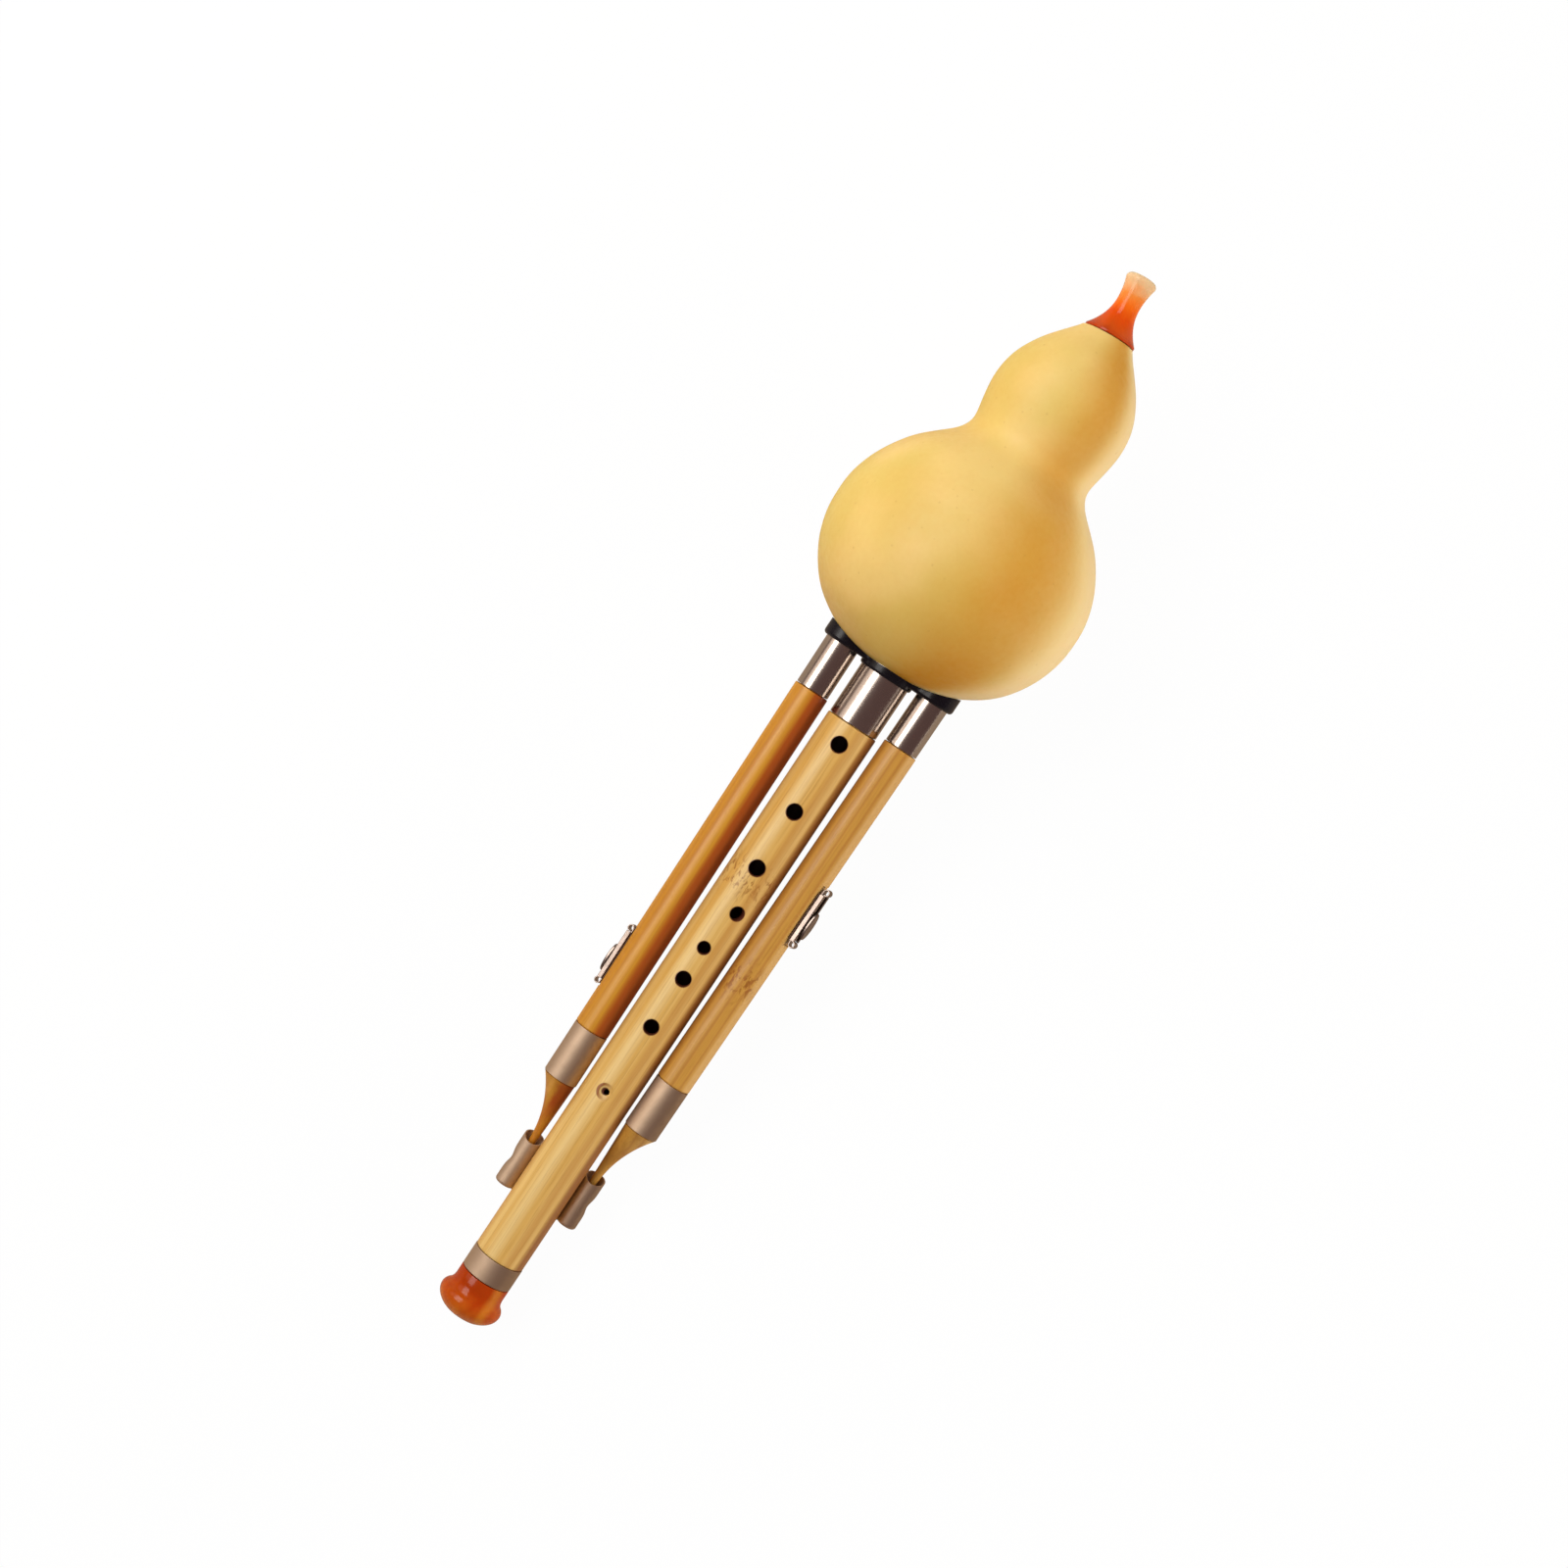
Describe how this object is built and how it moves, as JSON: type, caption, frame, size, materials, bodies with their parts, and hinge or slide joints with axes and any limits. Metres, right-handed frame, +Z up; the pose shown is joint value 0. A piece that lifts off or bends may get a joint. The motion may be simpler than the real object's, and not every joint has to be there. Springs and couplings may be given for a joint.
{
  "type": "hulusi",
  "caption": "Gourd flute with free reeds: a gourd wind chamber with a mouthpiece carries a keyed melody pipe with finger holes between two drone pipes with slide keys.",
  "frame": {"origin": "middle of the bottom of the bounding box, on the surface that the instrument lies on", "axes": "+Y from the bell towards the mouthpiece, +Z up with the finger holes on top, +X towards the right-hand drone of a viewer who sees the holes with the mouthpiece up"},
  "size_m": [0.0952, 0.4184, 0.0953],
  "materials": {
    "gourd_shell": "dried bottle gourd, scraped and waxed, pale straw yellow, soft sheen",
    "base_plastic": "moulded black plastic with softened edges",
    "polished_nickel": "polished nickel plate on brass tube and strip",
    "satin_nickel": "nickel plated brass, satin, slightly warm",
    "main_bamboo": "lacquered bamboo, light honey, fine straight grain",
    "left_bamboo": "lacquered bamboo, deeper orange honey",
    "right_bamboo": "lacquered bamboo, honey",
    "bell_resin": "translucent amber brown cast resin, polished",
    "mouth_resin": "translucent orange red cast resin fading to cream at the tip",
    "reed_bamboo": "thin raw bamboo",
    "reed_brass": "rolled brass sheet",
    "plug_cork": "turned hardwood plug",
    "lapping_thread": "waxed cotton thread",
    "gasket_leather": "thin oiled leather"
  },
  "bodies": {
    "gourd": {"gourd_body": "gourd_shell", "mouthpiece": "mouth_resin", "base_plate": "base_plastic", "main_socket": "polished_nickel", "left_socket": "polished_nickel", "right_socket": "polished_nickel"},
    "melody_pipe": {"main_pipe": "main_bamboo", "bell_ring": "satin_nickel", "bell": "bell_resin", "tail_clip": "satin_nickel", "main_lapping": "lapping_thread", "main_reed_tube": "reed_bamboo", "main_reed": "reed_brass", "main_reed_plug": "plug_cork"},
    "left_drone": {"left_drone_pipe": "left_bamboo", "left_lapping": "lapping_thread", "left_reed_tube": "reed_bamboo", "left_reed": "reed_brass", "left_reed_plug": "plug_cork", "left_tail_ferrule": "satin_nickel", "left_tail": "left_bamboo", "left_key_gasket": "gasket_leather", "left_key_plate": "polished_nickel", "left_key_nail_upper": "reed_brass", "left_key_nail_lower": "reed_brass"},
    "right_drone": {"right_drone_pipe": "right_bamboo", "right_lapping": "lapping_thread", "right_reed_tube": "reed_bamboo", "right_reed": "reed_brass", "right_reed_plug": "plug_cork", "right_tail_ferrule": "satin_nickel", "right_tail": "right_bamboo", "right_key_gasket": "gasket_leather", "right_key_plate": "polished_nickel", "right_key_nail_upper": "reed_brass", "right_key_nail_lower": "reed_brass"},
    "left_key": {"left_key_slider": "polished_nickel"},
    "right_key": {"right_key_slider": "polished_nickel"}
  },
  "joints": [
    {"name": "melody_pipe_pull", "type": "slide", "parent": "gourd", "child": "melody_pipe", "axis": [0, -0.9928, -0.1195], "range_m": [0, 0.065]},
    {"name": "left_drone_tuning", "type": "slide", "parent": "gourd", "child": "left_drone", "axis": [0.0091, -0.9928, -0.1195], "range_m": [0, 0.005]},
    {"name": "right_drone_tuning", "type": "slide", "parent": "gourd", "child": "right_drone", "axis": [-0.0091, -0.9928, -0.1195], "range_m": [0, 0.005]},
    {"name": "left_key_slide", "type": "slide", "parent": "left_drone", "child": "left_key", "axis": [-0.0091, 0.9928, 0.1195], "range_m": [0, 0.0044]},
    {"name": "right_key_slide", "type": "slide", "parent": "right_drone", "child": "right_key", "axis": [0.0091, 0.9928, 0.1195], "range_m": [0, 0.0044]}
  ]
}
